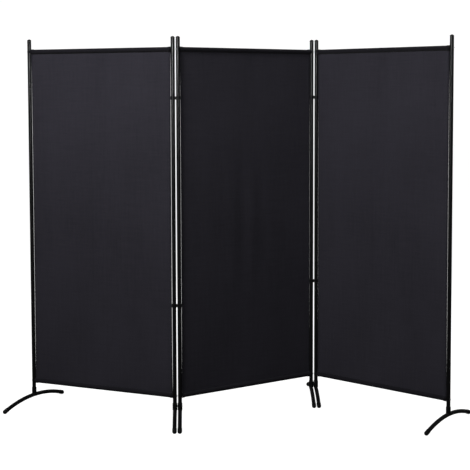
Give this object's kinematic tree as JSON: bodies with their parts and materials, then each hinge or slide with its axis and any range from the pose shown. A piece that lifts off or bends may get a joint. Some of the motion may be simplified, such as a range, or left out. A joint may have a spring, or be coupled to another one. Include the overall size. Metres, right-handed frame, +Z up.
{
  "type": "folding room divider screen",
  "caption": "Free-standing folding screen: cloth panels on tube frames, joined by double-ring clips, on arched swivelling feet.",
  "frame": {"origin": "on the floor, in the middle of the standing screen's bounding box", "axes": "+X from the left panel to the right panel as seen from the front, +Y away from the viewer, +Z up"},
  "size_m": [2.2476, 0.954, 1.8],
  "materials": {
    "black_steel": "satin black powder coat",
    "black_cloth": "matt plain-weave polyester",
    "black_plastic": "fine moulded texture",
    "zinc": "zinc plated"
  },
  "bodies": {
    "left_panel": {"left_outer_post": "black_steel", "left_inner_post": "black_steel", "left_top_bar": "black_steel", "left_bottom_bar": "black_steel", "left_fabric": "black_cloth", "left_post_caps": "black_plastic", "left_post_inserts": "zinc", "left_bar_inserts": "zinc", "left_bar_screws": "zinc", "left_foot_bolts": "zinc"},
    "centre_panel": {"centre_left_post": "black_steel", "centre_right_post": "black_steel", "centre_top_bar": "black_steel", "centre_bottom_bar": "black_steel", "centre_fabric": "black_cloth", "centre_post_caps": "black_plastic", "centre_post_inserts": "zinc", "centre_bar_inserts": "zinc", "centre_bar_screws": "zinc", "centre_foot_bolts": "zinc"},
    "right_panel": {"right_inner_post": "black_steel", "right_outer_post": "black_steel", "right_top_bar": "black_steel", "right_bottom_bar": "black_steel", "right_fabric": "black_cloth", "right_post_caps": "black_plastic", "right_post_inserts": "zinc", "right_bar_inserts": "zinc", "right_bar_screws": "zinc", "right_foot_bolts": "zinc"},
    "left_clips": {"left_upper_clip": "black_plastic", "left_lower_clip": "black_plastic"},
    "right_clips": {"right_upper_clip": "black_plastic", "right_lower_clip": "black_plastic"},
    "left_outer_foot": {"left_outer_foot_arch": "black_steel", "left_outer_foot_collar": "black_steel", "left_outer_foot_washer": "zinc", "left_outer_foot_tips": "black_plastic"},
    "left_inner_foot": {"left_inner_foot_arch": "black_steel", "left_inner_foot_collar": "black_steel", "left_inner_foot_washer": "zinc", "left_inner_foot_tips": "black_plastic"},
    "centre_left_foot": {"centre_left_foot_arch": "black_steel", "centre_left_foot_collar": "black_steel", "centre_left_foot_washer": "zinc", "centre_left_foot_tips": "black_plastic"},
    "centre_right_foot": {"centre_right_foot_arch": "black_steel", "centre_right_foot_collar": "black_steel", "centre_right_foot_washer": "zinc", "centre_right_foot_tips": "black_plastic"},
    "right_inner_foot": {"right_inner_foot_arch": "black_steel", "right_inner_foot_collar": "black_steel", "right_inner_foot_washer": "zinc", "right_inner_foot_tips": "black_plastic"},
    "right_outer_foot": {"right_outer_foot_arch": "black_steel", "right_outer_foot_collar": "black_steel", "right_outer_foot_washer": "zinc", "right_outer_foot_tips": "black_plastic"}
  },
  "joints": [
    {"name": "left_clip_swing", "type": "hinge", "parent": "centre_panel", "child": "left_clips", "pos_m": [-0.26429, -0.20789, 1], "axis": [0, 0, 1], "range_deg": [-57.5, 122.5]},
    {"name": "left_panel_swing", "type": "hinge", "parent": "left_clips", "child": "left_panel", "pos_m": [-0.28826, -0.20894, 1], "axis": [0, 0, 1], "range_deg": [-63.5, 116.5]},
    {"name": "right_clip_swing", "type": "hinge", "parent": "centre_panel", "child": "right_clips", "pos_m": [0.37793, 0.24179, 1], "axis": [0, 0, 1], "range_deg": [-55.5, 124.5]},
    {"name": "right_panel_swing", "type": "hinge", "parent": "right_clips", "child": "right_panel", "pos_m": [0.40193, 0.242, 1], "axis": [0, 0, 1], "range_deg": [-47.5, 132.5]},
    {"name": "left_outer_foot_swivel", "type": "hinge", "parent": "left_panel", "child": "left_outer_foot", "pos_m": [-1.00448, 0.10995, 0.056], "axis": [0, 0, 1], "range_deg": [-85, 95]},
    {"name": "right_outer_foot_swivel", "type": "hinge", "parent": "right_panel", "child": "right_outer_foot", "pos_m": [0.98455, -0.28259, 0.056], "axis": [0, 0, 1], "range_deg": [-97, 83]},
    {"name": "left_inner_foot_swivel", "type": "hinge", "parent": "left_panel", "child": "left_inner_foot", "pos_m": [-0.28826, -0.20894, 0.056], "axis": [0, 0, 1], "range_deg": [-116.5, 63.5]},
    {"name": "centre_left_foot_swivel", "type": "hinge", "parent": "centre_panel", "child": "centre_left_foot", "pos_m": [-0.26429, -0.20789, 0.056], "axis": [0, 0, 1], "range_deg": [-57.5, 122.5]},
    {"name": "centre_right_foot_swivel", "type": "hinge", "parent": "centre_panel", "child": "centre_right_foot", "pos_m": [0.37793, 0.24179, 0.056], "axis": [0, 0, 1], "range_deg": [-55.5, 124.5]},
    {"name": "right_inner_foot_swivel", "type": "hinge", "parent": "right_panel", "child": "right_inner_foot", "pos_m": [0.40193, 0.242, 0.056], "axis": [0, 0, 1], "range_deg": [-132.5, 47.5]}
  ],
  "couplings": [
    {"joint": "left_inner_foot_swivel", "follows": "left_panel_swing", "ratio": -1},
    {"joint": "centre_left_foot_swivel", "follows": "left_clip_swing", "ratio": 1},
    {"joint": "centre_right_foot_swivel", "follows": "right_clip_swing", "ratio": 1},
    {"joint": "right_inner_foot_swivel", "follows": "right_panel_swing", "ratio": -1}
  ]
}
